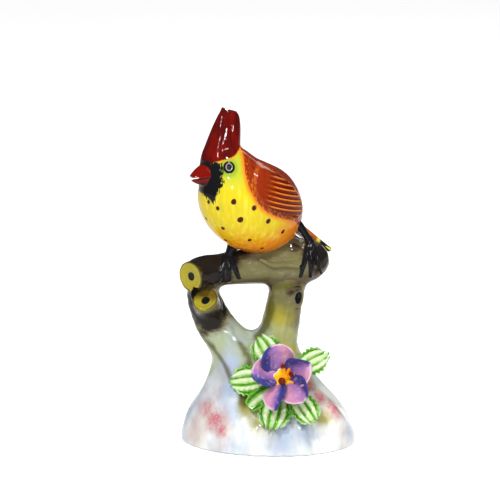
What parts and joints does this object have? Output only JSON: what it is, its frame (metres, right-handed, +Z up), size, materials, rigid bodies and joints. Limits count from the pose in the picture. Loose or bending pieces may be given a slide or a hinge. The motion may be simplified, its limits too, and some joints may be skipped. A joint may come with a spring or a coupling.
{
  "type": "bird figurine",
  "caption": "Glazed bone-china songbird with a tall crest, perched on a sawn branch over a rocky mound with a hand-made flower and leaves.",
  "frame": {"origin": "centre of the object's bounding box, on the plane that the foot stands on", "axes": "+Z up; +X towards the bird's tail and right wing tip side seen from the front; the flower faces -Y, which is the front"},
  "size_m": [0.0591, 0.0489, 0.1142],
  "materials": {
    "pastel_glaze": "high gloss glaze over hand-painted colour",
    "bark_glaze": "high gloss glaze over hand-painted colour",
    "breast_glaze": "high gloss glaze over hand-painted colour",
    "crimson_glaze": "high gloss glaze over hand-painted colour",
    "russet_glaze": "high gloss glaze over hand-painted colour",
    "black_glaze": "high gloss glaze over hand-painted colour",
    "petal_glaze": "high gloss glaze over hand-painted colour",
    "leaf_glaze": "high gloss glaze over hand-painted colour",
    "stamen_glaze": "high gloss glaze over hand-painted colour"
  },
  "bodies": {
    "root": {"mound_shell": "pastel_glaze", "left_stem": "bark_glaze", "right_stem": "bark_glaze", "sawn_stub": "bark_glaze", "perch_branch": "bark_glaze", "bird_body": "breast_glaze", "crest": "crimson_glaze", "upper_beak": "crimson_glaze", "lower_beak": "crimson_glaze", "left_wing": "russet_glaze", "right_wing": "russet_glaze", "tail": "russet_glaze", "left_foot": "black_glaze", "right_foot": "black_glaze", "flower_pad": "leaf_glaze", "flower_centre": "stamen_glaze", "stamen_1": "stamen_glaze", "stamen_2": "stamen_glaze", "stamen_3": "stamen_glaze", "stamen_4": "stamen_glaze", "stamen_5": "stamen_glaze", "stamen_6": "stamen_glaze", "petal_1": "petal_glaze", "petal_2": "petal_glaze", "petal_3": "petal_glaze", "petal_4": "petal_glaze", "petal_5": "petal_glaze", "leaf_1": "leaf_glaze", "leaf_2": "leaf_glaze", "leaf_3": "leaf_glaze", "leaf_4": "leaf_glaze", "leaf_5": "leaf_glaze", "leaf_6": "leaf_glaze"}
  },
  "joints": []
}
